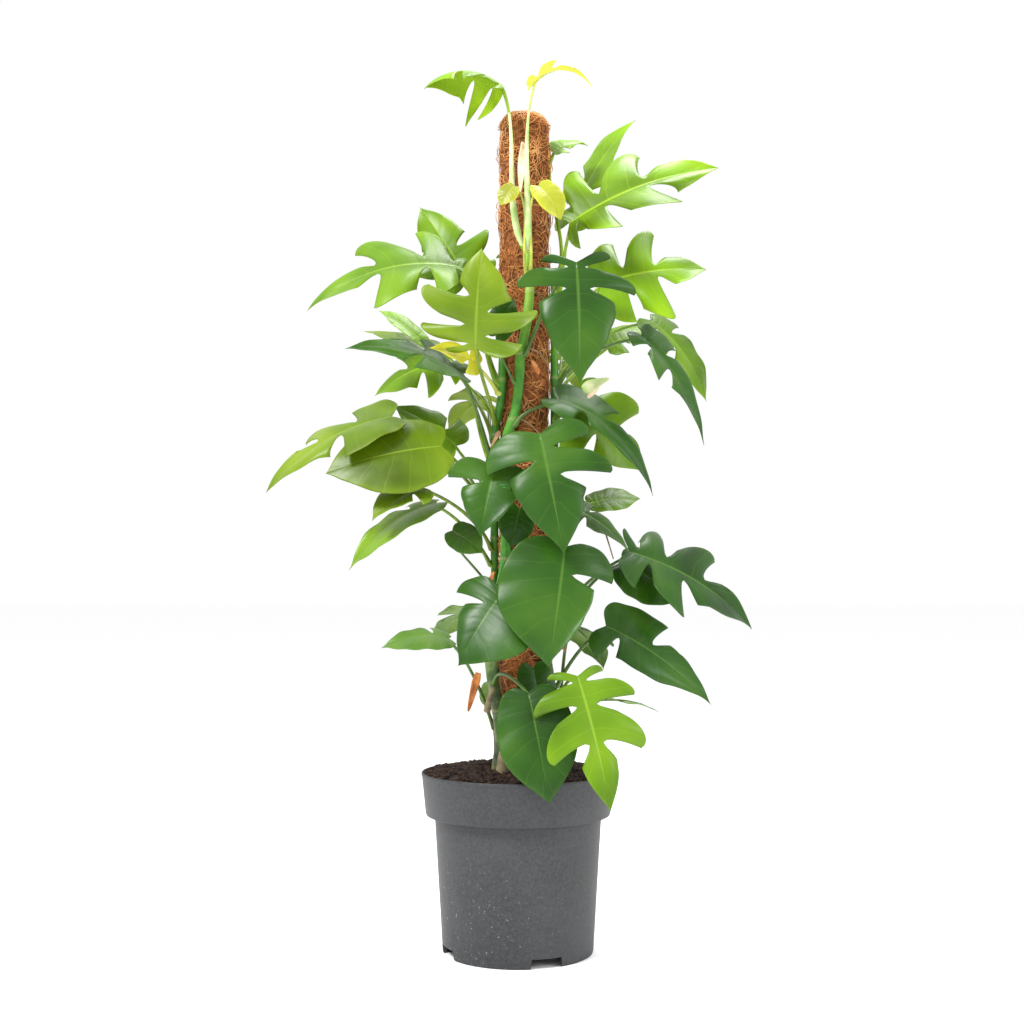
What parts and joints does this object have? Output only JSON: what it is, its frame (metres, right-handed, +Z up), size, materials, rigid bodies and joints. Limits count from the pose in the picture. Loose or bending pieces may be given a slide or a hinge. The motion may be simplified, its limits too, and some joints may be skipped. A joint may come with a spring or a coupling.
{
  "type": "potted climbing plant",
  "caption": "potted climbing plant with split leaves on an upright coir pole, in a round tapered nursery pot with a rim band and a notched foot",
  "frame": {"origin": "the floor under the middle of the pot's foot", "axes": "+Z up, -Y towards the viewer of the front, +X to the viewer's right"},
  "size_m": [0.6075, 0.3159, 1.0938],
  "materials": {
    "pot": "moulded, faint rub marks and dust",
    "soil": "coarse dark potting soil",
    "stake": "rough turned stake",
    "coir": "loose coconut fibre",
    "stem": "smooth green stem with pale rings",
    "leaf": "glossy leaf, paler underneath",
    "tie": "soft green plastic tie"
  },
  "bodies": {
    "root": {"leaf_01": "leaf", "leaf_02": "leaf", "leaf_03": "leaf", "leaf_04": "leaf", "leaf_05": "leaf", "leaf_06": "leaf", "leaf_07": "leaf", "leaf_08": "leaf", "leaf_09": "leaf", "leaf_10": "leaf", "leaf_11": "leaf", "leaf_12": "leaf", "leaf_13": "leaf", "leaf_14": "leaf", "leaf_15": "leaf", "leaf_16": "leaf", "leaf_17": "leaf", "leaf_18": "leaf", "leaf_19": "leaf", "leaf_20": "leaf", "leaf_21": "leaf", "leaf_22": "leaf", "leaf_23": "leaf", "leaf_24": "leaf", "leaf_25": "leaf", "leaf_26": "leaf", "leaf_27": "leaf", "leaf_28": "leaf", "leaf_29": "leaf", "leaf_30": "leaf", "leaf_31": "leaf", "leaf_32": "leaf", "leaf_33": "leaf", "leaf_34": "leaf", "leaf_35": "leaf", "leaf_36": "leaf", "leaf_37": "leaf", "leaf_38": "leaf", "leaf_39": "leaf", "leaf_40": "leaf", "leaf_41": "leaf", "leaf_42": "leaf", "leaf_43": "leaf", "leaf_44": "leaf", "leaf_45": "leaf", "leaf_46": "leaf", "leaf_47": "leaf", "leaf_48": "leaf", "leaf_49": "leaf", "leaf_50": "leaf", "leaf_51": "leaf", "pole_coir": "coir", "pole_core": "stake", "pot": "pot", "soil": "soil", "stem_front": "stem", "stem_left": "stem", "stem_right": "stem", "tie_lower": "tie", "tie_upper": "tie"}
  },
  "joints": []
}
